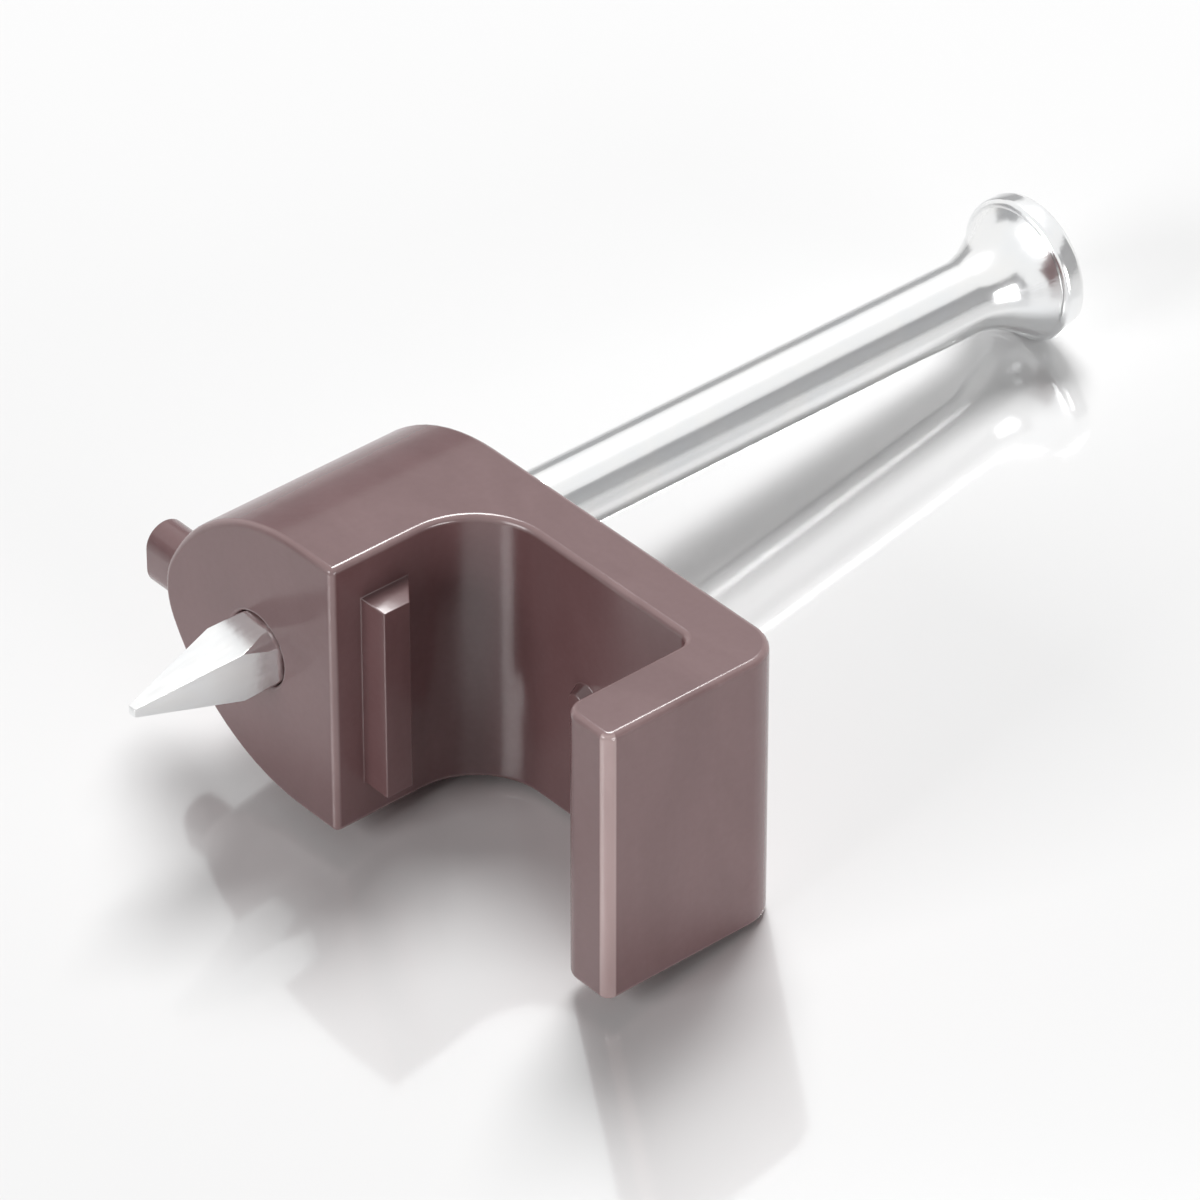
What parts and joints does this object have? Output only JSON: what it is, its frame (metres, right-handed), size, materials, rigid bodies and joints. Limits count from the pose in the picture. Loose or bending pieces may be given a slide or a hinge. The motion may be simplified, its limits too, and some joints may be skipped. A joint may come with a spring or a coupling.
{
  "type": "nail-in cable clip",
  "caption": "Hook-shaped moulded saddle that holds a flat cable against a wall, with a pointed nail boss and a captive steel nail ready to be driven.",
  "frame": {"origin": "where the nail's axis crosses the clip's wall face", "axes": "+Y from the wall along the nail to its head, +X from the nail across the cable to the far leg, Z along the cable"},
  "size_m": [0.0172, 0.0305, 0.008],
  "materials": {
    "clip_plastic": "satin, as moulded, purplish brown",
    "nail_steel": "bright zinc plate"
  },
  "bodies": {
    "root": {"clip_body": "clip_plastic", "nail": "nail_steel"}
  },
  "joints": []
}
